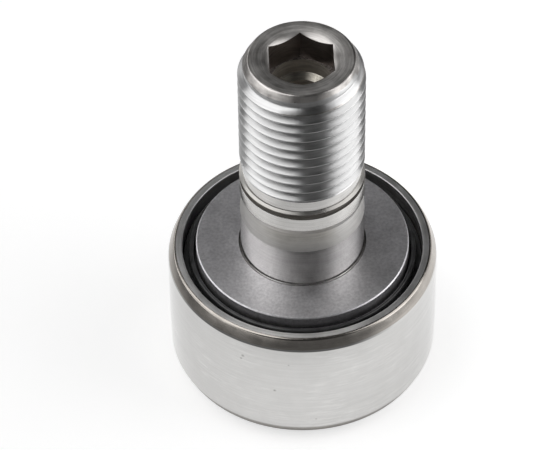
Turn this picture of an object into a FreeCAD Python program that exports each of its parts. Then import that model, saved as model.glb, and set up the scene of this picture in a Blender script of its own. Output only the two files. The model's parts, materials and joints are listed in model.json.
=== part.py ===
import FreeCAD, Part
import math
import os

# Stud cam follower: an outer ring that rolls on caged needles round a headed stud.
# Sizes are in millimetres. Z is the stud's axis, and the middle of the head's end face is the origin.

# Outer ring
ring_diameter = 35.0
ring_width = 18.0
crown_radius = 500.0
ring_chamfer_width = 0.82
ring_chamfer_height = 1.66
ring_rim_width = 1.08

# Seal rings, which run between the ring's inner shoulders and the head and washer
seal_ledge_width = 0.85
seal_rib_thickness = 0.65
seal_rib_height = 1.62
seal_rib_gap = 0.3
seal_land_width = 0.54
seal_base_thickness = 0.95
seal_side_play = 0.05
seal_rim_clearance = 0.05
seal_bore_step = 0.2

# Needle rollers and their cage
roller_diameter = 3.0
roller_count = 16
roller_end_play = 0.1
running_clearance = 0.03
window_clearance = 0.06
cage_gap = 0.4
cage_end_band = 0.9
cage_side_play = 0.3

# Head of the stud and the side washer, which stand out past the ring's faces
head_thickness = 2.9
head_standout = 0.8
head_edge = 0.35
washer_thickness = 2.9
washer_standout = 0.7
washer_edge = 0.3
washer_seat_step = 0.2
washer_seat_drop = 0.3

# Shank, with heights taken from the washer's outer face
stud_length = 32.5
shank_diameter = 16.0
relief_height = 8.1
relief_width = 3.8
relief_depth = 0.2
relief_slope = 0.3
groove_height = 12.2
groove_width = 0.75
groove_depth = 0.55
groove_slope = 0.55

# Threaded end, modelled at the diameter of the thread's crests
thread_crest_diameter = 15.9
end_chamfer = 1.3

# Hexagon sockets and grease passages, with depths taken from the end they start at
hexagon_across_flats = 8.0
hexagon_depth = 4.0
hexagon_turn = 2.6
hexagon_mouth_width = 0.56
hexagon_mouth_angle = 120.0
pilot_ledge = 0.1
thread_end_pilot_depth = 6.1
head_end_pilot_depth = 4.5
nipple_bore_diameter = 6.0
nipple_bore_length = 5.0
drill_point_angle = 118.0
channel_diameter = 3.0
cross_hole_diameter = 2.5
raceway_hole_offset = 2.5

# Places along the axis, from the head's face up
ring_low_z = head_standout
ring_high_z = ring_low_z + ring_width
shoulder_z = ring_high_z + washer_standout
overall_length = shoulder_z + stud_length
washer_low_z = shoulder_z - washer_thickness
low_track_z = head_thickness + seal_side_play + seal_base_thickness
high_track_z = washer_low_z - seal_side_play - seal_base_thickness
bearing_middle_z = (head_thickness + washer_low_z) / 2
relief_z = shoulder_z + relief_height

# Radii, from the tread in to the inner raceway
tread_radius = ring_diameter / 2
ring_face_radius = tread_radius - ring_chamfer_width
recess_radius = ring_face_radius - ring_rim_width
rib_outer_radius = recess_radius - seal_ledge_width
rib_inner_radius = rib_outer_radius - seal_rib_thickness
head_radius = rib_inner_radius - seal_rib_gap
seal_bore_radius = head_radius - seal_land_width
outer_raceway_radius = seal_bore_radius - seal_bore_step
roller_radius = roller_diameter / 2
pitch_radius = outer_raceway_radius - running_clearance - roller_radius
inner_raceway_radius = pitch_radius - roller_radius - running_clearance

# Radii of the shank and its washer seat
shank_radius = shank_diameter / 2
washer_bore_radius = shank_radius + washer_seat_step
crest_radius = thread_crest_diameter / 2

# Radii of the sockets and passages, and how far each drill's point reaches past its full width
flat_radius = hexagon_across_flats / 2
pilot_radius = flat_radius - pilot_ledge
nipple_radius = nipple_bore_diameter / 2
channel_radius = channel_diameter / 2
drill_point_slope = 1 / math.tan(math.radians(drill_point_angle / 2))
pilot_point_depth = (pilot_radius - nipple_radius) * drill_point_slope
nipple_point_depth = (nipple_radius - channel_radius) * drill_point_slope

# Lengths of the cage and its rollers, from the space between head and washer
cage_length = washer_low_z - head_thickness - 2 * cage_side_play
window_length = cage_length - 2 * cage_end_band
roller_length = window_length - 2 * roller_end_play

ORIGIN = FreeCAD.Vector(0, 0, 0)
Z_AXIS = FreeCAD.Vector(0, 0, 1)
Y_AXIS = FreeCAD.Vector(0, 1, 0)


def profile_edges(points):
    """Straight edges through (radius, height) points in the XZ plane."""
    corners = [FreeCAD.Vector(radius, 0, height) for radius, height in points]
    return [Part.makeLine(start, end) for start, end in zip(corners, corners[1:])]


def turned_edges(edges):
    """Solid turned about Z from a closed loop of edges in the XZ plane."""
    return Part.Face(Part.Wire(edges)).revolve(ORIGIN, Z_AXIS, 360)


def turned(points):
    """Solid turned about Z from a closed outline of (radius, height) points."""
    return turned_edges(profile_edges(points + points[:1]))


def mirrored(shape, height):
    """Copy of a shape, reflected in the level plane at a height."""
    return shape.mirror(Z_AXIS * height, Z_AXIS)


def stud_outline():
    """Outside of the stud from the head's face to the threaded end."""
    head = [
        (0, 0),
        (head_radius - head_edge, 0),
        (head_radius, head_edge),
        (head_radius, head_thickness),
    ]
    bearing = [
        (inner_raceway_radius, head_thickness),
        (inner_raceway_radius, washer_low_z),
        (washer_bore_radius, washer_low_z),
        (washer_bore_radius, shoulder_z - washer_seat_drop),
        (shank_radius, shoulder_z),
    ]
    relief_radius = shank_radius - relief_depth
    relief_low = relief_z - relief_width / 2
    relief_high = relief_z + relief_width / 2
    relief = [
        (shank_radius, relief_low),
        (relief_radius, relief_low + relief_slope),
        (relief_radius, relief_high - relief_slope),
        (shank_radius, relief_high),
    ]
    groove_radius = shank_radius - groove_depth
    groove_low = shoulder_z + groove_height
    groove_high = groove_low + groove_width
    groove = [
        (shank_radius, groove_low),
        (groove_radius, groove_low),
        (groove_radius, groove_high),
        (crest_radius, groove_high + groove_slope),
    ]
    threaded_end = [
        (crest_radius, overall_length - end_chamfer),
        (crest_radius - end_chamfer, overall_length),
        (0, overall_length),
    ]
    return head + bearing + relief + groove + threaded_end


def socket_drilling(pilot_depth):
    """Round part of a socket, opening upwards at z = 0: countersink, pilot drilling and nipple bore."""
    mouth_radius = flat_radius + hexagon_mouth_width
    mouth_depth = (mouth_radius - pilot_radius) / math.tan(math.radians(hexagon_mouth_angle / 2))
    nipple_top = -pilot_depth - pilot_point_depth
    nipple_bottom = nipple_top - nipple_bore_length
    return turned([
        (0, 0),
        (mouth_radius, 0),
        (pilot_radius, -mouth_depth),
        (pilot_radius, -pilot_depth),
        (nipple_radius, nipple_top),
        (nipple_radius, nipple_bottom),
        (channel_radius, nipple_bottom - nipple_point_depth),
        (0, nipple_bottom - nipple_point_depth),
    ])


def hexagon_socket(pilot_depth):
    """Cutter for one end of the stud: the pressed hexagon and the drilling behind it."""
    corner_radius = flat_radius / math.cos(math.pi / 6)
    angles = [math.radians(hexagon_turn + 30 + 60 * corner) for corner in range(6)]
    corners = [FreeCAD.Vector(corner_radius * math.cos(a), corner_radius * math.sin(a), 0) for a in angles]
    hexagon = Part.Face(Part.makePolygon(corners + corners[:1])).extrude(Z_AXIS * -hexagon_depth)
    return socket_drilling(pilot_depth).fuse(hexagon)


def stud():
    """One turned piece: head, inner raceway, washer seat, shank and threaded end, drilled for grease."""
    thread_end_socket = hexagon_socket(thread_end_pilot_depth)
    thread_end_socket.translate(Z_AXIS * overall_length)
    head_end_socket = mirrored(hexagon_socket(head_end_pilot_depth), 0)
    past_pilot = pilot_point_depth + nipple_bore_length
    channel_low = head_end_pilot_depth + past_pilot
    channel_high = overall_length - thread_end_pilot_depth - past_pilot
    channel = Part.makeCylinder(channel_radius, channel_high - channel_low, Z_AXIS * channel_low)
    cross_holes = [
        Part.makeCylinder(cross_hole_diameter / 2, head_radius, Z_AXIS * height, Y_AXIS)
        for height in (bearing_middle_z + raceway_hole_offset, relief_z)
    ]
    return turned(stud_outline()).cut([thread_end_socket, head_end_socket, channel] + cross_holes)


def side_washer():
    """Flange washer pressed on the stud against the end of the inner raceway."""
    return turned([
        (washer_bore_radius, washer_low_z),
        (head_radius, washer_low_z),
        (head_radius, shoulder_z - washer_edge),
        (head_radius - washer_edge, shoulder_z),
        (washer_bore_radius, shoulder_z),
    ])


def outer_ring():
    """Thick ring with a slightly crowned tread, a recess at each end and the outer raceway between them."""
    tread_low = ring_low_z + ring_chamfer_height
    tread_high = ring_high_z - ring_chamfer_height
    half_tread = (tread_high - tread_low) / 2
    tread_edge_radius = tread_radius - crown_radius + math.sqrt(crown_radius**2 - half_tread**2)
    tread = Part.Arc(
        FreeCAD.Vector(tread_edge_radius, 0, tread_low),
        FreeCAD.Vector(tread_radius, 0, tread_low + half_tread),
        FreeCAD.Vector(tread_edge_radius, 0, tread_high),
    ).toShape()
    faces_and_bore = profile_edges([
        (tread_edge_radius, tread_high),
        (ring_face_radius, ring_high_z),
        (recess_radius, ring_high_z),
        (recess_radius, high_track_z),
        (outer_raceway_radius, high_track_z),
        (outer_raceway_radius, low_track_z),
        (recess_radius, low_track_z),
        (recess_radius, ring_low_z),
        (ring_face_radius, ring_low_z),
        (tread_edge_radius, tread_low),
    ])
    return turned_edges([tread] + faces_and_bore)


def seal_ring():
    """Plastic ring on the washer's side: a flat sliding base with a rib round the washer's rim."""
    base_low = high_track_z
    base_high = base_low + seal_base_thickness
    rib_high = base_high + seal_rib_height
    rim_radius = recess_radius - seal_rim_clearance
    return turned([
        (seal_bore_radius, base_low),
        (rim_radius, base_low),
        (rim_radius, base_high),
        (rib_outer_radius, base_high),
        (rib_outer_radius, rib_high),
        (rib_inner_radius, rib_high),
        (rib_inner_radius, base_high),
        (seal_bore_radius, base_high),
    ])


def round_the_axis(shape):
    """Copies of a shape turned about the axis in even steps, one for each roller."""
    copies = []
    for place in range(roller_count):
        copy = shape.copy()
        copy.rotate(ORIGIN, Z_AXIS, 360 * place / roller_count)
        copies.append(copy)
    return copies


def needle_cage():
    """Sleeve with a straight-sided window for each roller."""
    inner = inner_raceway_radius + cage_gap
    outer = outer_raceway_radius - cage_gap
    low = bearing_middle_z - cage_length / 2
    high = bearing_middle_z + cage_length / 2
    sleeve = turned([(inner, low), (outer, low), (outer, high), (inner, high)])
    window_depth = outer_raceway_radius - inner_raceway_radius
    window_width = roller_diameter + 2 * window_clearance
    corner = FreeCAD.Vector(inner_raceway_radius, -window_width / 2, bearing_middle_z - window_length / 2)
    window = Part.makeBox(window_depth, window_width, window_length, corner)
    return sleeve.cut(round_the_axis(window))


def needle_roller():
    """The first roller, on the pitch circle at its height in the bearing."""
    foot = FreeCAD.Vector(pitch_radius, 0, bearing_middle_z - roller_length / 2)
    return Part.makeCylinder(roller_radius, roller_length, foot)


def all_pieces():
    """Every separate piece of the follower, by its name."""
    seal = seal_ring()
    pieces = {
        "stud": stud(),
        "side_washer": side_washer(),
        "outer_ring": outer_ring(),
        "seal_ring_stud_side": seal,
        "seal_ring_head_side": mirrored(seal, bearing_middle_z),
        "needle_cage": needle_cage(),
    }
    for number, roller in enumerate(round_the_axis(needle_roller()), start=1):
        pieces[f"needle_roller_{number:02d}"] = roller
    return pieces


os.makedirs("parts", exist_ok=True)
for name, shape in all_pieces().items():
    shape.exportStep(f"parts/{name}.step")
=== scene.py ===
import json
import math

import bmesh
import bpy
import numpy as np
from mathutils import Matrix, Vector


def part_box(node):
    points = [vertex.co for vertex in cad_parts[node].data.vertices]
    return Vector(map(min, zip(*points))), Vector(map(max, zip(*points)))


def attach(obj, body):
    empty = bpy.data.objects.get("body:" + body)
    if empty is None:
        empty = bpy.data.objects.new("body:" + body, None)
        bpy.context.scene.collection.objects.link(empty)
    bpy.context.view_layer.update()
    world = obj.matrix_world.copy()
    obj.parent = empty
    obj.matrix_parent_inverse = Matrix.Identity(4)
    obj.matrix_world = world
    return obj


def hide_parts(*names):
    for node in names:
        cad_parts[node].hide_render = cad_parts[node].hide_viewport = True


# Stud cam follower standing on its head, in millimetres and degrees, with floor and lamps in metres

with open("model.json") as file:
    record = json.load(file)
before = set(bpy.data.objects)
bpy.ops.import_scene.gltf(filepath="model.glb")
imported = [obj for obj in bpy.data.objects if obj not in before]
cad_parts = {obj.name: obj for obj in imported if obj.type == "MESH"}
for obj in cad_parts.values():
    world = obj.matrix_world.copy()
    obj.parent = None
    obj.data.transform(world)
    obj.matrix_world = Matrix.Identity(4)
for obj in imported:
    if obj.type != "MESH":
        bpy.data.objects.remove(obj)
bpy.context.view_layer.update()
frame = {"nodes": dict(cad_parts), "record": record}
MM = 0.001


def turned_size(node):
    """Outer radius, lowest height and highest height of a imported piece."""
    low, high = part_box(node)
    return high.x / MM, low.z / MM, high.z / MM


# Sizes that the frame gives
mounts = {mount["name"]: mount["dims"] for mount in frame["record"]["mounts"]}
head_radius, head_low, stud_high = turned_size("stud")
washer_radius, washer_low, washer_high = turned_size("side_washer")
ring_radius, ring_low, ring_high = turned_size("outer_ring")
seal_radius, _, seal_high = turned_size("seal_ring_stud_side")
shank_radius = mounts["shank"]["r_mm"]
crest_radius = mounts["thread"]["r_mm"]
nipple_radius = mounts["thread_end_nipple_bore"]["r_mm"]
nipple_length = mounts["thread_end_nipple_bore"]["length_mm"]

# Stud below the washer's face
head_thickness = 2.9
head_chamfer = 0.35
head_rounding = 0.12
raceway_radius = 10.0
raceway_fillet = 0.15
step_rounding = 0.1
seat_radius = 8.27
seat_drop = 0.4
seat_rounding = 0.03
shank_foot_rounding = 0.05

# Shank, with heights above the washer's face
relief_low = 6.2
relief_high = 10.0
relief_depth = 0.22
relief_slope = 0.85
relief_foot_rounding = 0.3
relief_fillet = 0.2
slot_low = 12.03
slot_high = 12.85
slot_depth = 0.45
slot_edge = 0.08
slot_rounding = 0.04
slot_fillet = 0.1
collar_height = 0.04
collar_slope = 0.24
collar_rounding = 0.02
collar_fillet = 0.03
collar_margin = 0.1
land_radius = 7.65

# Thread, right-handed
thread_pitch = 1.5
thread_depth = 0.9
thread_flank_angle = 30.0
thread_start = 14.78
thread_run_out = 0.6
thread_phase = 0.93
crest_width = 0.12
crest_rounding = 0.05
root_rounding = 0.18
end_chamfer_width = 1.3
end_chamfer_height = 2.25
end_rim = 0.3
end_rim_rounding = 0.3

# Sockets and grease passages
hexagon_flat = 4.0
hexagon_depth = 4.0
hexagon_turn = 2.6
mouth_width = 0.72
mouth_angle = 106.0
mouth_radius = hexagon_flat + mouth_width
pilot_radius = 3.9
thread_end_pilot = 6.1
head_end_pilot = 4.5
channel_radius = 1.5
channel_lead = 1.0
bore_rounding = 0.08
drill_point = 118.0
cross_hole_radius = 1.25
cross_hole_flare = 0.15
cross_hole_sides = 64
shank_hole_above_washer = 8.1
raceway_hole_height = 12.25

# Flange washer
washer_low_chamfer = 0.3
washer_low_rounding = 0.1
washer_high_chamfer = 0.14
washer_high_rounding = 0.05
washer_bore_low_rounding = 0.08
washer_bore_high_rounding = 0.02

# Outer ring
crown_radius = 500.0
crown_steps = 13
ring_chamfer_width = 0.82
ring_chamfer_height = 1.66
ring_chamfer_bulge = 0.03
ring_bulge_shares = (0.15, 0.3, 0.45, 0.6, 0.72)
ring_rim_width = 1.08
tread_edge_rounding = 0.05
face_edge_rounding = 0.4
recess_rounding = 0.12
recess_fillet = 0.1
outer_raceway_radius = 13.06
outer_raceway_rounding = 0.15
shoulder_inset = 3.2
half_tread = (ring_high - ring_low) / 2 - ring_chamfer_height

# Small dents of the tread: angle right of the front, height and size
tread_dents = (
    (-26.0, 14.6, 0.3),
    (-26.8, 14.0, 0.22),
    (-12.0, 9.4, 0.25),
    (-6.0, 14.6, 0.14),
    (5.5, 4.0, 0.16),
)

# Seal rings
seal_base = 0.95
seal_rounding = 0.08
seal_rim_rounding = 0.12
rib_outer_radius = 14.75
rib_inner_radius = 14.1
rib_rounding = 0.28
rib_fillet = 0.1
seal_bore_radius = 13.26

# Fineness of the meshes
SEGMENTS = 240
ARC_STEPS = 3
THREAD_ARC_STEPS = 2
RIM_ARC_STEPS = 5
SPARE_TURNS = 3
SUPPORT = 0.03
WALL_RINGS = (3.0, 1.0, SUPPORT, 0.0)
SHARP_ANGLE = 38.0
MERGE = 0.0005

# Heights on the shank, from the floor
relief_foot = washer_high + relief_low - 2 * SUPPORT
relief_top = washer_high + relief_high - SUPPORT
collar_top = washer_high + slot_high + collar_height + collar_slope
collar_end = collar_top + collar_margin
thread_low = washer_high + thread_start

angles = np.radians(hexagon_turn) + 2 * math.pi * np.arange(SEGMENTS) / SEGMENTS


# Turned meshes


def unit(vector):
    return vector / np.linalg.norm(vector)


def mirrored(height):
    """Height of the same spot at the other end of the bearing."""
    return head_low + washer_high - height


def rounded(corners, closed=False, steps=ARC_STEPS):
    """Points of straight runs between (radius, height, rounding) corners, with arcs at the rounded ones."""
    places = [np.array(corner[:2], float) for corner in corners]
    path = []
    for index, here in enumerate(places):
        rounding = corners[index][2]
        is_end = not closed and index in (0, len(corners) - 1)
        if is_end or rounding == 0:
            path.append(here)
            continue
        before = unit(places[index - 1] - here)
        after = unit(places[(index + 1) % len(places)] - here)
        half = math.acos(np.clip(before @ after, -1, 1)) / 2
        reach = rounding / math.tan(half)
        centre = here + unit(before + after) * rounding / math.sin(half)
        start = (here + before * reach - centre) / rounding
        end = (here + after * reach - centre) / rounding
        sweep = math.pi - 2 * half
        path.append(here + before * (reach + SUPPORT))
        for step in range(steps + 1):
            share = step / steps
            turn = math.sin((1 - share) * sweep) * start + math.sin(share * sweep) * end
            path.append(centre + rounding * turn / math.sin(sweep))
        path.append(here + after * (reach + SUPPORT))
    return path


def ring_points(radius, height):
    """One ring of points round the axis. Radius and height are numbers, or have a value for each column."""
    radius = np.broadcast_to(radius, SEGMENTS)
    height = np.broadcast_to(height, SEGMENTS)
    return np.stack([radius * np.cos(angles), radius * np.sin(angles), height], -1)


def outline_rings(outline):
    """Rings for the points of an outline."""
    return [ring_points(radius, height) for radius, height in outline]


def add_skin(mesh, rings, material=0, twist=0):
    """Faces between neighbouring rings. A twist joins the last column to the first that many rings on."""
    rows = [[mesh.verts.new(point) for point in ring] for ring in rings]
    for low in range(len(rows) - 1):
        for column in range(SEGMENTS):
            wraps = column == SEGMENTS - 1
            beside = low + twist if wraps else low
            if beside + 1 >= len(rows):
                continue
            after = 0 if wraps else column + 1
            corners = (rows[low][column], rows[beside][after], rows[beside + 1][after], rows[low + 1][column])
            mesh.faces.new(corners).material_index = material


def add_turned(mesh, corners, material=0, closed=False):
    """Surface turned about the axis from a rounded outline."""
    rings = outline_rings(rounded(corners, closed))
    if closed:
        rings.append(rings[0])
    add_skin(mesh, rings, material)


def finished_object(name, mesh, materials):
    """Object from a bmesh in millimetres: seams joined, normals out, smooth faces with crisp sharp edges."""
    bmesh.ops.remove_doubles(mesh, verts=mesh.verts, dist=MERGE)
    bmesh.ops.recalc_face_normals(mesh, faces=mesh.faces)
    bmesh.ops.scale(mesh, verts=mesh.verts, vec=(MM, MM, MM))
    data = bpy.data.meshes.new(name)
    mesh.to_mesh(data)
    mesh.free()
    for material in materials:
        data.materials.append(material)
    data.shade_smooth()
    data.set_sharp_from_angle(angle=math.radians(SHARP_ANGLE))
    piece = bpy.data.objects.new(name, data)
    bpy.context.scene.collection.objects.link(piece)
    return piece


def fit(piece, body, slot, *nodes):
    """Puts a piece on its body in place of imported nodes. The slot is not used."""
    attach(piece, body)
    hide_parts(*nodes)


# Nodes of the materials


def add_node(tree, kind, inputs=None, **settings):
    """New node. Inputs that are sockets are linked and the others are set."""
    node = tree.nodes.new("ShaderNode" + kind)
    for name, value in settings.items():
        setattr(node, name, value)
    for key, value in (inputs or {}).items():
        if isinstance(value, bpy.types.NodeSocket):
            tree.links.new(value, node.inputs[key])
        else:
            node.inputs[key].default_value = value
    return node


def math_value(tree, operation, first, second):
    return add_node(tree, "Math", {0: first, 1: second}, operation=operation).outputs[0]


def product(tree, first, second):
    return math_value(tree, "MULTIPLY", first, second)


def vector_value(tree, operation, first, second=(0, 0, 0)):
    return add_node(tree, "VectorMath", {0: first, 1: second}, operation=operation).outputs[0]


def length_value(tree, vector):
    return add_node(tree, "VectorMath", {0: vector}, operation="LENGTH").outputs["Value"]


def component(tree, vector, axis):
    return add_node(tree, "SeparateXYZ", {0: vector}).outputs[axis]


def millimetres(tree):
    """The piece's own coordinates, in millimetres."""
    own = add_node(tree, "TexCoord").outputs["Object"]
    return vector_value(tree, "MULTIPLY", own, (1 / MM, 1 / MM, 1 / MM))


def from_axis(tree, place):
    """Direction away from the axis and distance from it."""
    level = vector_value(tree, "MULTIPLY", place, (1, 1, 0))
    return vector_value(tree, "NORMALIZE", level), length_value(tree, level)


RADIUS_WEIGHT = 1.37


def lines_round_axis(tree, per_mm, drift):
    """Coordinates that change fast across the lathe's lines and slowly along them."""
    place = millimetres(tree)
    direction, distance = from_axis(tree, place)
    across = math_value(tree, "ADD", component(tree, place, "Z"), product(tree, distance, RADIUS_WEIGHT))
    fast = add_node(tree, "CombineXYZ", {"Z": product(tree, across, per_mm)}).outputs[0]
    slow = vector_value(tree, "MULTIPLY", direction, (drift, drift, 0))
    return vector_value(tree, "ADD", slow, fast)


def noise_value(tree, vector, scale=1.0, detail=2.0, roughness=0.5):
    inputs = {"Vector": vector, "Scale": scale, "Detail": detail, "Roughness": roughness}
    return add_node(tree, "TexNoise", inputs).outputs["Fac"]


def ranged(tree, value, low, high, from_low=0.3, from_high=0.7):
    """Goes from low to high as the value goes from one end of its range to the other."""
    inputs = {"Value": value, "From Min": from_low, "From Max": from_high, "To Min": low, "To Max": high}
    return add_node(tree, "MapRange", inputs).outputs[0]


def mixed_colour(tree, factor, first, second):
    node = add_node(tree, "Mix", data_type="RGBA")
    tree.links.new(factor, node.inputs["Factor"])
    colours = [socket for socket in node.inputs if socket.type == "RGBA"]
    for socket, colour in zip(colours, (first, second)):
        if isinstance(colour, bpy.types.NodeSocket):
            tree.links.new(colour, socket)
        else:
            socket.default_value = (*colour, 1)
    return next(socket for socket in node.outputs if socket.type == "RGBA")


def mixed_value(tree, factor, first, second):
    inputs = {"Factor": factor, "A": first, "B": second}
    return add_node(tree, "Mix", inputs, data_type="FLOAT").outputs["Result"]


def bumped(tree, height, micrometres, normal=None):
    inputs = {"Height": height, "Strength": 1.0, "Distance": micrometres * MM * MM}
    if normal is not None:
        inputs["Normal"] = normal
    return add_node(tree, "Bump", inputs).outputs[0]


def new_material(name, metallic=1.0):
    material = bpy.data.materials.new(name)
    material.use_nodes = True
    tree = material.node_tree
    shader = tree.nodes["Principled BSDF"]
    shader.inputs["Metallic"].default_value = metallic
    return material, tree, shader


def dress(tree, shader, colour, roughness, normal):
    """Links colour, roughness and normal to the shader of a material."""
    for key, socket in (("Base Color", colour), ("Roughness", roughness), ("Normal", normal)):
        tree.links.new(socket, shader.inputs[key])


# Worked steel

LINE_DRIFT = 1.5
CLOUD_SHARE = 0.4
TONE_RANGE = (0.38, 0.62)
GLOSS_STRETCH = 0.8
QUARTER_TURN = 0.25


def worked_surface(tree, dark, light, gloss, lines_per_mm, line_depth,
                   grain=0.0, grain_depth=0.0, grain_scale=4.0):
    """Colour, roughness and normal of worked steel: tool lines, cloudy tone, grain and uneven gloss.

    Gloss is the range of the roughness. The depths of lines and grain are in micrometres.
    """
    place = millimetres(tree)
    lines = noise_value(tree, lines_round_axis(tree, lines_per_mm, LINE_DRIFT), detail=3.0, roughness=0.6)
    clouds = noise_value(tree, place, scale=0.45, detail=4.0, roughness=0.6)
    specks = noise_value(tree, place, scale=grain_scale, detail=3.0, roughness=0.65)
    smooth_tone = mixed_value(tree, CLOUD_SHARE, lines, clouds)
    tone = mixed_value(tree, grain, smooth_tone, specks)
    colour = mixed_colour(tree, ranged(tree, tone, 0, 1, *TONE_RANGE), dark, light)
    normal = bumped(tree, lines, line_depth)
    if grain_depth:
        normal = bumped(tree, specks, grain_depth, normal)
    return colour, ranged(tree, clouds, *gloss), normal


def steel(name, metallic=1.0, **finish):
    """Steel with one finish all over, bare or, in the slot, painted dark as shade."""
    material, tree, shader = new_material(name, metallic)
    dress(tree, shader, *worked_surface(tree, **finish))
    return material


def turned_gloss(material):
    """Draws the gloss out across the lines that the lathe left round the axis."""
    tree = material.node_tree
    shader = tree.nodes["Principled BSDF"]
    shader.inputs["Anisotropic"].default_value = GLOSS_STRETCH
    shader.inputs["Anisotropic Rotation"].default_value = QUARTER_TURN
    tangent = add_node(tree, "Tangent", direction_type="RADIAL", axis="Z").outputs[0]
    tree.links.new(tangent, shader.inputs["Tangent"])
    return material


def blended_steel(name, first, second, share):
    """Steel that goes from a first finish to a second one, by the share that a function of its tree gives."""
    material, tree, shader = new_material(name)
    colour, roughness, normal = worked_surface(tree, **first)
    other_colour, other_roughness, _ = worked_surface(tree, **second)
    factor = share(tree)
    colour = mixed_colour(tree, factor, colour, other_colour)
    dress(tree, shader, colour, mixed_value(tree, factor, roughness, other_roughness), normal)
    return material


# Stud

(GROUND, RELIEF, SLOT, COLLAR, THREAD, END_CHAMFER,
 END_FACE, MOUTH, SOCKET, LEDGE, BORE, DRILL_POINT) = range(12)

ground_finish = dict(
    dark=(0.52, 0.51, 0.495), light=(0.64, 0.63, 0.615),
    gloss=(0.13, 0.19), lines_per_mm=5.0, line_depth=0.6)
brushed_finish = dict(ground_finish, gloss=(0.32, 0.42))
# Brownish finish of the relief: partly its own finish, partly painted shade at the front and back.
relief_finish_and_shade = dict(
    dark=(0.42, 0.405, 0.375), light=(0.6, 0.58, 0.545),
    gloss=(0.32, 0.42), lines_per_mm=4.0, line_depth=2.5)
# Dark finish in the slot: painted shade in the groove.
slot_shade_finish = dict(
    dark=(0.115, 0.105, 0.094), light=(0.19, 0.176, 0.158),
    gloss=(0.4, 0.5), lines_per_mm=4.0, line_depth=2.0)
collar_finish = dict(
    dark=(0.4, 0.388, 0.37), light=(0.5, 0.488, 0.465),
    gloss=(0.26, 0.34), lines_per_mm=4.0, line_depth=2.0)
thread_finish = dict(
    dark=(0.56, 0.56, 0.56), light=(0.7, 0.7, 0.7),
    gloss=(0.28, 0.36), lines_per_mm=6.0, line_depth=0.8)
end_chamfer_finish = dict(
    dark=(0.28, 0.266, 0.257), light=(0.78, 0.752, 0.724),
    gloss=(0.26, 0.34), lines_per_mm=4.0, line_depth=26.0)
end_face_finish = dict(
    dark=(0.38, 0.365, 0.35), light=(0.74, 0.72, 0.7),
    gloss=(0.36, 0.46), lines_per_mm=2.8, line_depth=30.0)
mouth_finish = dict(
    dark=(0.46, 0.44, 0.425), light=(0.62, 0.6, 0.58),
    gloss=(0.3, 0.38), lines_per_mm=3.0, line_depth=4.0)
socket_finish = dict(
    dark=(0.17, 0.15, 0.14), light=(0.27, 0.235, 0.22),
    gloss=(0.35, 0.5), lines_per_mm=4.0, line_depth=2.0)
ledge_finish = dict(
    dark=(0.1, 0.09, 0.085), light=(0.4, 0.38, 0.36),
    gloss=(0.35, 0.5), lines_per_mm=4.0, line_depth=2.0, grain=0.8, grain_depth=20.0)
bore_finish = dict(
    dark=(0.36, 0.33, 0.29), light=(0.56, 0.52, 0.46),
    gloss=(0.42, 0.52), lines_per_mm=3.0, line_depth=8.0)
drill_point_finish = dict(
    dark=(0.3, 0.28, 0.245), light=(0.52, 0.49, 0.43),
    gloss=(0.24, 0.32), lines_per_mm=3.0, line_depth=5.0, grain=0.5, grain_depth=8.0)
# Dark finish for a drill point's left: painted shade, beside its lighter right as painted light.
drill_shade_finish = dict(
    dark=(0.07, 0.065, 0.056), light=(0.14, 0.132, 0.112),
    gloss=(0.4, 0.5), lines_per_mm=3.0, line_depth=5.0)

# Where a finish is full and where it is gone, as shares of the radius right of the axis. Both blends paint
# shade: the relief's at its front and back, the drill point's at its left.
relief_shade_right = (0.4, 0.6)
relief_shade_left = (-0.4, -0.9)
drill_shade_right = (0.1, 0.5)

# Height over which the relief's finish grows
relief_fade = 2.4


def side_share(tree, full, none):
    """All of it at one share of the radius right of the axis, and none of it at the other."""
    direction, _ = from_axis(tree, millimetres(tree))
    return ranged(tree, component(tree, direction, "X"), 1, 0, full, none)


def relief_share(tree):
    """None at the relief's lower end and its sides, all of it further up, with streaks in between. Keeping
    the darker finish off the sides paints shade at the front and back.
    """
    height = component(tree, millimetres(tree), "Z")
    streaks = noise_value(tree, lines_round_axis(tree, per_mm=3.0, drift=1.0), detail=3.0)
    rise = math_value(tree, "SUBTRACT", height, washer_high + relief_low)
    rise = math_value(tree, "ADD", rise, product(tree, streaks, relief_fade))
    grown = ranged(tree, rise, 0, 1, relief_fade / 2, 3 * relief_fade / 2)
    middle = product(tree, side_share(tree, *relief_shade_right), side_share(tree, *relief_shade_left))
    return product(tree, grown, middle)


def drill_shade_share(tree):
    """Painted shade on the left of a drill point, whose right side is left lighter as painted light."""
    return side_share(tree, *drill_shade_right)


def stud_materials():
    """Materials of the stud, in the order of its surfaces."""
    return [
        steel("ground_shank", **ground_finish),
        blended_steel("relief_steel", brushed_finish, relief_finish_and_shade, relief_share),
        steel("slot_painted_shade", metallic=0.0, **slot_shade_finish),
        steel("collar_steel", **collar_finish),
        turned_gloss(steel("thread_steel", **thread_finish)),
        turned_gloss(steel("end_chamfer_steel", **end_chamfer_finish)),
        steel("end_face_steel", **end_face_finish),
        steel("mouth_steel", **mouth_finish),
        steel("socket_steel", **socket_finish),
        steel("ledge_steel", **ledge_finish),
        steel("bore_steel", metallic=0.4, **bore_finish),
        blended_steel("drill_point_steel", drill_point_finish, drill_shade_finish, drill_shade_share),
    ]


def add_lower_stud(mesh):
    """Outside of the stud from the head's socket over raceway and seat to the relief."""
    add_turned(mesh, [
        (mouth_radius, head_low, 0),
        (head_radius - head_chamfer, head_low, head_rounding),
        (head_radius, head_low + head_chamfer, head_rounding),
        (head_radius, head_thickness - head_chamfer, head_rounding),
        (head_radius - head_chamfer, head_thickness, head_rounding),
        (raceway_radius, head_thickness, raceway_fillet),
        (raceway_radius, washer_low, step_rounding),
        (seat_radius, washer_low, step_rounding),
        (seat_radius, washer_high - seat_drop, seat_rounding),
        (shank_radius, washer_high, shank_foot_rounding),
        (shank_radius, relief_foot, 0),
    ], GROUND)


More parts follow.
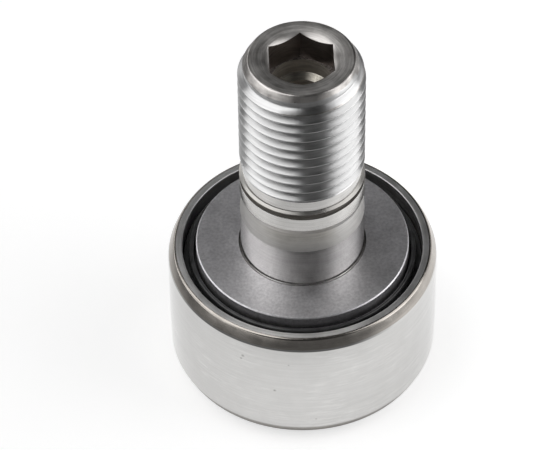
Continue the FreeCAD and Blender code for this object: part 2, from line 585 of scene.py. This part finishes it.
def add_relief(mesh):
    """Shallow relief with a gentle lower end and a short upper slope, and the band above it."""
    add_turned(mesh, [
        (shank_radius, relief_foot, 0),
        (shank_radius, washer_high + relief_low, relief_foot_rounding),
        (shank_radius - relief_depth, washer_high + relief_high - relief_slope, relief_fillet),
        (shank_radius, relief_top, 0),
    ], RELIEF)
    add_turned(mesh, [
        (shank_radius, relief_top, 0),
        (shank_radius, washer_high + relief_high, 0),
        (shank_radius, washer_high + slot_low, slot_rounding),
        (shank_radius - slot_edge, washer_high + slot_low, 0),
    ], GROUND)


def add_slot_and_land(mesh):
    """Slot painted dark as shade, sloped collar and the smaller land that ends at the thread."""
    low = washer_high + slot_low
    high = washer_high + slot_high
    add_turned(mesh, [
        (shank_radius - slot_edge, low, 0),
        (shank_radius - slot_depth, low, slot_fillet),
        (shank_radius - slot_depth, high, slot_fillet),
        (shank_radius - slot_edge, high, 0),
    ], SLOT)
    add_turned(mesh, [
        (shank_radius - slot_edge, high, 0),
        (shank_radius, high, collar_rounding),
        (shank_radius, high + collar_height, collar_rounding),
        (land_radius, collar_top, collar_fillet),
        (land_radius, collar_end, 0),
    ], COLLAR)
    add_turned(mesh, [
        (land_radius, collar_end, 0),
        (land_radius, thread_low - SUPPORT, 0),
        (land_radius, thread_low, 0),
    ], GROUND)


def end_cone(height):
    """Radius of the end chamfer's cone at a height."""
    return crest_radius - end_chamfer_width + (stud_high - height) * end_chamfer_width / end_chamfer_height


def thread_profile():
    """Distances along the axis and radii of one pitch of the thread, from crest to crest."""
    flank = thread_depth * math.tan(math.radians(thread_flank_angle))
    root_radius = crest_radius - thread_depth
    half_crest = crest_width / 2
    return rounded([
        (0, crest_radius, 0),
        (half_crest, crest_radius, crest_rounding),
        (half_crest + flank, root_radius, root_rounding),
        (thread_pitch - half_crest - flank, root_radius, root_rounding),
        (thread_pitch - half_crest, crest_radius, crest_rounding),
        (thread_pitch, crest_radius, 0),
    ], steps=THREAD_ARC_STEPS)[:-1]


def thread_rings(low, high):
    """Rings that climb one pitch a turn, and how many rings one pitch has."""
    profile = thread_profile()
    climb = thread_pitch * np.arange(SEGMENTS) / SEGMENTS
    lowest = low + thread_phase - SPARE_TURNS * thread_pitch
    turns = math.ceil((high - low) / thread_pitch) + SPARE_TURNS
    rings = []
    for turn in range(turns):
        for along, radius in profile:
            height = np.clip(lowest + turn * thread_pitch + along + climb, low, high)
            chamfered = np.minimum(radius, end_cone(height))
            share = np.clip((height - low) / thread_run_out, 0, 1)
            rings.append(ring_points(land_radius + (chamfered - land_radius) * share, height))
    return rings, len(profile)


def on_end_cone(vert):
    return abs(math.hypot(vert.co.x, vert.co.y) - end_cone(vert.co.z)) < MERGE


def add_thread(mesh, high):
    """Helical thread, whose faces on the end chamfer have their own finish."""
    rings, twist = thread_rings(thread_low, high)
    add_skin(mesh, rings, THREAD, twist)
    for face in mesh.faces:
        if face.material_index == THREAD and all(on_end_cone(vert) for vert in face.verts):
            face.material_index = END_CHAMFER


def hexagon_reach():
    """Distance from the axis to the hexagon's walls, for each column."""
    sector = 360 / 6
    from_flat = (np.degrees(angles) - hexagon_turn + sector / 2) % sector - sector / 2
    return hexagon_flat / np.cos(np.radians(from_flat))


def add_socket(mesh, face, inward, pilot_depth):
    """Adds a socket from its mouth to the channel and returns its last ring. Inward is +1 or -1."""
    wall = hexagon_reach()
    mouth_depth = (mouth_radius - wall) / math.tan(math.radians(mouth_angle / 2))
    mouth = [ring_points(mouth_radius, face), ring_points(wall, face + inward * mouth_depth)]
    hexagon_floor = face + inward * hexagon_depth
    walls = mouth[-1:] + [ring_points(wall, hexagon_floor - inward * above) for above in WALL_RINGS]
    cone = 1 / math.tan(math.radians(drill_point / 2))
    pilot_floor = face + inward * pilot_depth
    nipple_mouth = pilot_floor + inward * cone * (pilot_radius - nipple_radius)
    nipple_floor = nipple_mouth + inward * nipple_length
    channel_mouth = nipple_floor + inward * cone * (nipple_radius - channel_radius)
    bore = outline_rings(rounded([
        (nipple_radius, nipple_mouth, 0),
        (nipple_radius, nipple_floor, bore_rounding),
        (channel_radius, channel_mouth, bore_rounding),
        (channel_radius, channel_mouth + inward * channel_lead, 0),
    ]))
    add_skin(mesh, mouth, MOUTH)
    add_skin(mesh, walls, SOCKET)
    add_skin(mesh, [walls[-1], ring_points(pilot_radius, hexagon_floor)], LEDGE)
    add_skin(mesh, outline_rings([(pilot_radius, hexagon_floor), (pilot_radius, pilot_floor)]), BORE)
    add_skin(mesh, outline_rings([(pilot_radius, pilot_floor), (nipple_radius, nipple_mouth)]), DRILL_POINT)
    add_skin(mesh, bore, BORE)
    return bore[-1]


def circle_across(mesh, radius, out, height):
    """Points of an upright circle at a distance behind the axis."""
    turns = 2 * math.pi * np.arange(cross_hole_sides) / cross_hole_sides
    return [
        mesh.verts.new((radius * math.cos(turn), out, height + radius * math.sin(turn)))
        for turn in turns
    ]


def cross_drill(height, material):
    """Cutter of a grease hole from the axis out to the back, with a flared mouth at the shank's surface."""
    flare_start = shank_radius - cross_hole_flare
    flare_length = 3 * cross_hole_flare
    steps = [
        (cross_hole_radius, 0),
        (cross_hole_radius, flare_start),
        (cross_hole_radius + flare_length, flare_start + flare_length),
        (cross_hole_radius + flare_length, head_radius),
    ]
    mesh = bmesh.new()
    rings = [circle_across(mesh, radius, out, height) for radius, out in steps]
    for ring, beyond in zip(rings, rings[1:]):
        for side in range(cross_hole_sides):
            mesh.faces.new((ring[side - 1], ring[side], beyond[side], beyond[side - 1]))
    mesh.faces.new(rings[0])
    mesh.faces.new(rings[-1])
    for face in mesh.faces:
        face.material_index = material
    bmesh.ops.recalc_face_normals(mesh, faces=mesh.faces)
    bmesh.ops.scale(mesh, verts=mesh.verts, vec=(MM, MM, MM))
    data = bpy.data.meshes.new("cross_drill")
    mesh.to_mesh(data)
    mesh.free()
    return bpy.data.objects.new("cross_drill", data)


def drill_across(piece, height, material):
    """Cuts a cross hole into a finished piece."""
    drill = cross_drill(height, material)
    bpy.context.scene.collection.objects.link(drill)
    cut = piece.modifiers.new("hole", "BOOLEAN")
    cut.operation = "DIFFERENCE"
    cut.solver = "EXACT"
    cut.object = drill
    shape = bpy.data.meshes.new_from_object(piece.evaluated_get(bpy.context.evaluated_depsgraph_get()))
    piece.modifiers.clear()
    shape.name = piece.name
    piece.data = shape
    shape.set_sharp_from_angle(angle=math.radians(SHARP_ANGLE))
    bpy.data.objects.remove(drill)


def threaded_stud():
    """The stud with its helical thread, sockets and grease passages."""
    mesh = bmesh.new()
    add_lower_stud(mesh)
    add_relief(mesh)
    add_slot_and_land(mesh)
    thread_high = stud_high - end_rim
    add_thread(mesh, thread_high)
    rim = outline_rings(rounded([
        (end_cone(thread_high), thread_high, 0),
        (crest_radius - end_chamfer_width, stud_high, end_rim_rounding),
        (mouth_radius, stud_high, 0),
    ], steps=RIM_ARC_STEPS))
    add_skin(mesh, rim[:-1], END_CHAMFER)
    add_skin(mesh, rim[-2:], END_FACE)
    upper_end = add_socket(mesh, stud_high, -1, thread_end_pilot)
    lower_end = add_socket(mesh, head_low, 1, head_end_pilot)
    add_skin(mesh, [upper_end, lower_end], BORE)
    piece = finished_object("threaded_stud", mesh, stud_materials())
    for height in (raceway_hole_height, washer_high + shank_hole_above_washer):
        drill_across(piece, height, BORE)
    fit(piece, "stud", "turned_steel", "stud")


# Washer

washer_finish = dict(
    dark=(0.57, 0.56, 0.58), light=(0.75, 0.74, 0.76), gloss=(0.4, 0.48),
    lines_per_mm=1.2, line_depth=0.5, grain=0.75, grain_depth=5.0, grain_scale=2.4)


def flange_washer():
    """Flat washer with a fine upper edge round its rim."""
    mesh = bmesh.new()
    add_turned(mesh, [
        (seat_radius, washer_low, washer_bore_low_rounding),
        (washer_radius - washer_low_chamfer, washer_low, washer_low_rounding),
        (washer_radius, washer_low + washer_low_chamfer, washer_low_rounding),
        (washer_radius, washer_high - washer_high_chamfer, washer_high_rounding),
        (washer_radius - washer_high_chamfer, washer_high, washer_high_rounding),
        (seat_radius, washer_high, washer_bore_high_rounding),
    ], closed=True)
    piece = finished_object("flange_washer", mesh, [steel("washer_satin", **washer_finish)])
    fit(piece, "stud", "washer_steel", "side_washer")


# Outer ring

TREAD, RING_FACE, CHAMFER = range(3)

tread_finish = dict(
    dark=(0.55, 0.545, 0.535), light=(0.595, 0.59, 0.58),
    gloss=(0.07, 0.13), lines_per_mm=5.0, line_depth=0.25)
ring_face_finish = dict(
    dark=(0.66, 0.655, 0.65), light=(0.84, 0.835, 0.83),
    gloss=(0.36, 0.44), lines_per_mm=2.2, line_depth=1.5)
ring_chamfer_finish = dict(
    dark=(0.37, 0.345, 0.318), light=(0.52, 0.488, 0.452),
    gloss=(0.18, 0.26), lines_per_mm=3.0, line_depth=1.5)
streak_colour = (0.65, 0.645, 0.635)
dent_colour = (0.36, 0.355, 0.34)


def streak_share(tree, place):
    """Fine streaks along the tread, in patches."""
    streaks = noise_value(tree, lines_round_axis(tree, per_mm=2.5, drift=5.0), detail=4.0, roughness=0.65)
    patches = noise_value(tree, place, scale=0.16)
    streaks = ranged(tree, streaks, 0, 1, from_low=0.48, from_high=0.66)
    patches = ranged(tree, patches, 0, 1, from_low=0.46, from_high=0.6)
    return product(tree, streaks, patches)


def dent_share(tree, place, angle, height, size):
    """All of it in the middle of a dent of the tread, and none of it outside."""
    turn = math.radians(angle)
    centre = (ring_radius * math.sin(turn), -ring_radius * math.cos(turn), height)
    reach = length_value(tree, vector_value(tree, "SUBTRACT", place, centre))
    return ranged(tree, reach, 1, 0, size / 4, size)


def tread_steel():
    """Ground tread with patches of fine streaks and a few small dents."""
    material, tree, shader = new_material("ground_tread")
    colour, roughness, normal = worked_surface(tree, **tread_finish)
    place = millimetres(tree)
    colour = mixed_colour(tree, streak_share(tree, place), colour, streak_colour)
    for dent in tread_dents:
        colour = mixed_colour(tree, dent_share(tree, place, *dent), colour, dent_colour)
    dress(tree, shader, colour, roughness, normal)
    return material


def tread_radius(from_middle):
    """Radius of the crowned tread at a height from its middle."""
    return ring_radius - crown_radius + math.sqrt(crown_radius**2 - from_middle**2)


def ring_edge(face, way):
    """Bulging chamfer from the tread to an end face. Way is +1 at the ring's upper end, -1 at the lower."""
    tread_edge = np.array((tread_radius(half_tread), face - way * ring_chamfer_height))
    face_edge = np.array((ring_radius - ring_chamfer_width, face))
    chord = face_edge - tread_edge
    out = unit(np.array((abs(chord[1]), way * abs(chord[0]))))
    edge = [(*tread_edge, tread_edge_rounding)]
    for share in ring_bulge_shares:
        bulge = 4 * share * (1 - share) * ring_chamfer_bulge
        edge.append((*(tread_edge + share * chord + bulge * out), 0))
    edge.append((*face_edge, face_edge_rounding))
    return edge


def crown_points():
    """Corners along the crowned tread, without its ends."""
    middle = (ring_high + ring_low) / 2
    points = []
    for step in range(1, crown_steps):
        from_middle = half_tread * (2 * step / crown_steps - 1)
        points.append((tread_radius(from_middle), middle + from_middle, 0))
    return points


def tread_ring():
    """Outer ring with its crowned tread, chamfers, recesses and raceway."""
    recess = ring_radius - ring_chamfer_width - ring_rim_width
    low_edge = ring_edge(ring_low, -1)
    high_edge = ring_edge(ring_high, 1)
    high_track = ring_high - shoulder_inset
    low_track = mirrored(high_track)
    mesh = bmesh.new()
    add_turned(mesh, [low_edge[1], low_edge[0]] + crown_points() + high_edge[:2], TREAD)
    face_ends = []
    for edge in (low_edge, high_edge):
        face = edge[-1][1]
        chamfer = rounded(edge[1:] + [(recess, face, 0)])[:-2]
        add_skin(mesh, outline_rings(chamfer), CHAMFER)
        face_ends.append((*chamfer[-1], 0))
    low_face_end, high_face_end = face_ends
    add_turned(mesh, [
        high_face_end,
        (recess, ring_high, recess_rounding),
        (recess, high_track, recess_fillet),
        (outer_raceway_radius, high_track, outer_raceway_rounding),
        (outer_raceway_radius, low_track, outer_raceway_rounding),
        (recess, low_track, recess_fillet),
        (recess, ring_low, recess_rounding),
        low_face_end,
    ], RING_FACE)
    materials = [
        tread_steel(),
        steel("ring_face_steel", **ring_face_finish),
        steel("ring_chamfer_steel", **ring_chamfer_finish),
    ]
    fit(finished_object("tread_ring", mesh, materials), "outer_ring", "ground_steel", "outer_ring")


# Seal rings

seal_black = (0.022, 0.022, 0.023)
seal_worn = (0.054, 0.054, 0.055)
seal_gloss = (0.17, 0.25)
seal_grain_depth = 6.0


def seal_plastic():
    """Moulded black plastic, a little worn and greasy."""
    material, tree, shader = new_material("seal_plastic", metallic=0.0)
    place = millimetres(tree)
    clouds = noise_value(tree, place, scale=0.6, detail=4.0)
    grain = noise_value(tree, place, scale=9.0, detail=2.0)
    colour = mixed_colour(tree, ranged(tree, clouds, 0, 1), seal_black, seal_worn)
    dress(tree, shader, colour, ranged(tree, grain, *seal_gloss), bumped(tree, grain, seal_grain_depth))
    return material


def black_seal(name, node, plastic, upside_down):
    """Sealing ring with a rib, at the stud's end of the bearing or upside down at the head's end."""
    base_low = ring_high - shoulder_inset
    base_high = base_low + seal_base
    corners = [
        (seal_bore_radius, base_low, seal_rounding),
        (seal_radius, base_low, seal_rounding),
        (seal_radius, base_high, seal_rim_rounding),
        (rib_outer_radius, base_high, rib_fillet),
        (rib_outer_radius, seal_high, rib_rounding),
        (rib_inner_radius, seal_high, rib_rounding),
        (rib_inner_radius, base_high, rib_fillet),
        (seal_bore_radius, base_high, seal_rounding),
    ]
    if upside_down:
        corners = [(radius, mirrored(height), rounding) for radius, height, rounding in corners]
    mesh = bmesh.new()
    add_turned(mesh, corners, closed=True)
    fit(finished_object(name, mesh, [plastic]), "outer_ring", "seal_plastic", node)


# Cage and rollers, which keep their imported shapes

cage_finish = dict(
    dark=(0.34, 0.33, 0.31), light=(0.5, 0.49, 0.47),
    gloss=(0.3, 0.42), lines_per_mm=2.0, line_depth=1.5)
roller_finish = dict(
    dark=(0.62, 0.62, 0.62), light=(0.72, 0.72, 0.72),
    gloss=(0.08, 0.14), lines_per_mm=6.0, line_depth=0.3)


def dress_needle_bearing():
    cage_steel = steel("cage_steel", **cage_finish)
    roller_steel = steel("roller_steel", **roller_finish)
    for name, node in frame["nodes"].items():
        if name.startswith("needle_"):
            node.data.materials.clear()
            node.data.materials.append(cage_steel if name == "needle_cage" else roller_steel)


# Floor, in metres

floor_half = 20.0
paper_tone = 0.62
far_tone = 0.25
# Glow of the floor: brighter at the right as painted light, and in reflections dimmed under the ring as
# painted shadow
glow_left = 0.6
glow_right = 0.82
glow_range = (0.0, 0.05)
glow_under_ring = 0.25
ring_shade_edge = (0.96 * ring_radius * MM, 1.02 * ring_radius * MM)
front_fade = (0.029, 0.055)
front_spread = (0.4, 0.85)
round_fade = (0.055, 0.11)
round_fade_lean = 0.45


def grey(tone):
    return (tone, tone, tone, 1)


def floor_glow(tree, place, camera_ray):
    """More at the right, a painted pool of light, and in reflections less under the ring, a painted shadow.
    """
    level = ranged(tree, component(tree, place, "X"), glow_left, glow_right, *glow_range)
    open_floor = ranged(tree, length_value(tree, place), glow_under_ring, 1, *ring_shade_edge)
    return product(tree, level, math_value(tree, "MAXIMUM", open_floor, camera_ray))


def far_share(tree, place, camera_ray):
    """Share of the dark floor that reflections show: all round from afar, and nearer in front."""
    distance = length_value(tree, place)
    ahead = product(tree, component(tree, vector_value(tree, "NORMALIZE", place), "Y"), -1.0)
    in_front = ranged(tree, ahead, 0, 1, *front_spread)
    in_front = product(tree, ranged(tree, distance, 0, 1, *front_fade), in_front)
    lean = product(tree, component(tree, place, "X"), round_fade_lean)
    all_round = ranged(tree, math_value(tree, "SUBTRACT", distance, lean), 0, 1, *round_fade)
    far = math_value(tree, "MAXIMUM", in_front, all_round)
    return product(tree, far, math_value(tree, "SUBTRACT", 1.0, camera_ray))


def floor_material():
    """White floor that keeps shadows. In reflections it darkens away from the object, as paper would."""
    material = bpy.data.materials.new("floor_white")
    material.use_nodes = True
    tree = material.node_tree
    tree.nodes.clear()
    path = add_node(tree, "LightPath").outputs
    camera_ray = path["Is Camera Ray"]
    seen = math_value(tree, "MAXIMUM", camera_ray, path["Is Glossy Ray"])
    seen = math_value(tree, "MAXIMUM", seen, path["Is Transmission Ray"])
    place = add_node(tree, "NewGeometry").outputs["Position"]
    strength = product(tree, seen, floor_glow(tree, place, camera_ray))
    glow = add_node(tree, "Emission", {"Strength": strength})
    paper = add_node(tree, "BsdfDiffuse", {"Color": grey(paper_tone)})
    white = add_node(tree, "AddShader", {0: glow.outputs[0], 1: paper.outputs[0]})
    dark = add_node(tree, "BsdfDiffuse", {"Color": grey(far_tone)})
    far = far_share(tree, place, camera_ray)
    mix = add_node(tree, "MixShader", {0: far, 1: white.outputs[0], 2: dark.outputs[0]})
    output = add_node(tree, "OutputMaterial")
    tree.links.new(mix.outputs[0], output.inputs["Surface"])
    return material


def add_floor():
    data = bpy.data.meshes.new("floor")
    corners = [(x * floor_half, y * floor_half, 0) for x, y in ((-1, -1), (1, -1), (1, 1), (-1, 1))]
    data.from_pydata(corners, [], [(0, 1, 2, 3)])
    data.materials.append(floor_material())
    plane = bpy.data.objects.new("floor", data)
    bpy.context.scene.collection.objects.link(plane)


# Lamps, in metres


def softbox(name, place, lean, width, length, radiance):
    """Area lamp whose face leans from level towards the object and shines with the given radiance."""
    lamp = bpy.data.lights.new(name, "AREA")
    lamp.shape = "RECTANGLE"
    lamp.size = width
    lamp.size_y = length
    lamp.energy = math.pi * width * length * radiance
    box = bpy.data.objects.new(name, lamp)
    box.location = place
    box.rotation_mode = "ZYX"
    box.rotation_euler = [math.radians(angle) for angle in lean]
    box.visible_camera = False
    bpy.context.scene.collection.objects.link(box)


def add_lamps():
    softbox("left_softbox", place=(-0.349, -0.045, 0.488), lean=(0, -36, 0),
            width=0.66, length=0.61, radiance=1.65)
    softbox("right_softbox", place=(0.51, -0.04, 0.318), lean=(0, 54, -14),
            width=0.74, length=0.5, radiance=1.62)
    softbox("back_card", place=(-0.16, 0.41, 0.46), lean=(-43, 0, 0),
            width=0.36, length=0.4, radiance=0.15)


# World, with the ranges of directions that its glow fades over

room_glow = 0.02
low_glow = 0.13
low_range = (0.22, 0.4)
left_glow = 1.5
left_range = (-0.65, -0.2)
right_glow = 1.1
right_range = (0.5, 0.85)
raised_range = (0.07, 0.16)
beside_range = (-0.6, -0.4)


def studio_world():
    """Dim room that is lighter low down at both sides."""
    world = bpy.data.worlds.new("studio")
    world.use_nodes = True
    tree = world.node_tree
    way = add_node(tree, "SeparateXYZ", {0: add_node(tree, "TexCoord").outputs["Generated"]}).outputs
    low = ranged(tree, way["Z"], 1, 0, *low_range)
    left = ranged(tree, way["X"], left_glow, 0, *left_range)
    right = ranged(tree, way["X"], 0, right_glow, *right_range)
    raised = ranged(tree, way["Z"], 0, 1, *raised_range)
    raised = math_value(tree, "MAXIMUM", raised, ranged(tree, way["Y"], 0, 1, *beside_range))
    sides = product(tree, raised, math_value(tree, "ADD", left, right))
    glow = product(tree, low, math_value(tree, "ADD", sides, low_glow))
    background = tree.nodes["Background"]
    background.inputs["Color"].default_value = (1, 1, 1, 1)
    tree.links.new(math_value(tree, "ADD", glow, room_glow), background.inputs["Strength"])
    bpy.context.scene.world = world


# Camera, fitted to the photograph in pixels of its frame

camera_elevation = 46.99
camera_distance = 432.857
camera_roll = -0.254
focal_pixels = 3340.824
frame_width = 540
frame_height = 450
aim_pixel = (302.316, 239.117)
sensor_width = 36.0
clip_start = 10.0


def photo_camera():
    """Camera at the photograph's angle, with the middle of the washer's face on the aim pixel."""
    elevation = math.radians(camera_elevation)
    back = Vector((0, -math.cos(elevation), math.sin(elevation)))
    right = Vector((1, 0, 0))
    up = back.cross(right)
    yaw = math.atan((aim_pixel[0] - frame_width / 2) / focal_pixels)
    pitch = math.atan((frame_height / 2 - aim_pixel[1]) / focal_pixels)
    ahead = -back * math.cos(pitch) - up * math.sin(pitch)
    up = up * math.cos(pitch) - back * math.sin(pitch)
    side = right * math.cos(yaw) + ahead * math.sin(yaw)
    ahead = ahead * math.cos(yaw) - right * math.sin(yaw)
    roll = math.radians(camera_roll)
    right = side * math.cos(roll) + up * math.sin(roll)
    up = up * math.cos(roll) - side * math.sin(roll)
    data = bpy.data.cameras.new("camera")
    data.sensor_width = sensor_width
    data.lens = focal_pixels * sensor_width / frame_width
    data.clip_start = clip_start * MM
    camera = bpy.data.objects.new("camera", data)
    turn = Matrix((right, up, -ahead)).transposed().to_4x4()
    place = Vector((0, 0, washer_high * MM)) + back * camera_distance * MM
    camera.matrix_world = Matrix.Translation(place) @ turn
    bpy.context.scene.collection.objects.link(camera)
    bpy.context.scene.camera = camera


threaded_stud()
flange_washer()
tread_ring()
black = seal_plastic()
black_seal("black_seal_stud_side", "seal_ring_stud_side", black, False)
black_seal("black_seal_head_side", "seal_ring_head_side", black, True)
dress_needle_bearing()
add_floor()
add_lamps()
studio_world()
photo_camera()
bpy.context.scene.view_settings.view_transform = "Standard"
